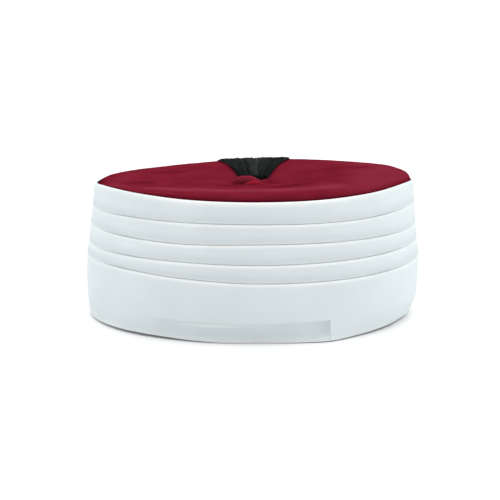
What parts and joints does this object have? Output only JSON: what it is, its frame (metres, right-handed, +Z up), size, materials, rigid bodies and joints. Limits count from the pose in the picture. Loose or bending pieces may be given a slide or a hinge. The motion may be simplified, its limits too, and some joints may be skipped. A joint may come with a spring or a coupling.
{
  "type": "fez hat with a wound white wrap and a tassel",
  "caption": "Low round red felt cap with a sunken crown, wound turns of folded white cloth round its wall and a dark silk tassel lying back over the crown.",
  "frame": {"origin": "middle of the rim on the surface that the hat stands on", "axes": "+Z up through the crown, -Y towards the front of the hat, +X to its right seen from the front"},
  "size_m": [0.2062, 0.2061, 0.0869],
  "materials": {
    "red_felt": "dense matt wool felt with a fine nap, dark crimson",
    "white_cloth": "smooth closely woven white cotton, pressed in folds",
    "dark_silk": "straight silk strands, green-black with a soft sheen"
  },
  "bodies": {
    "root": {"felt_cap": "red_felt", "wrap_turn_1": "white_cloth", "wrap_turn_2": "white_cloth", "wrap_turn_3": "white_cloth", "wrap_turn_4": "white_cloth", "wrap_lower_band": "white_cloth", "tassel": "dark_silk"}
  },
  "joints": []
}
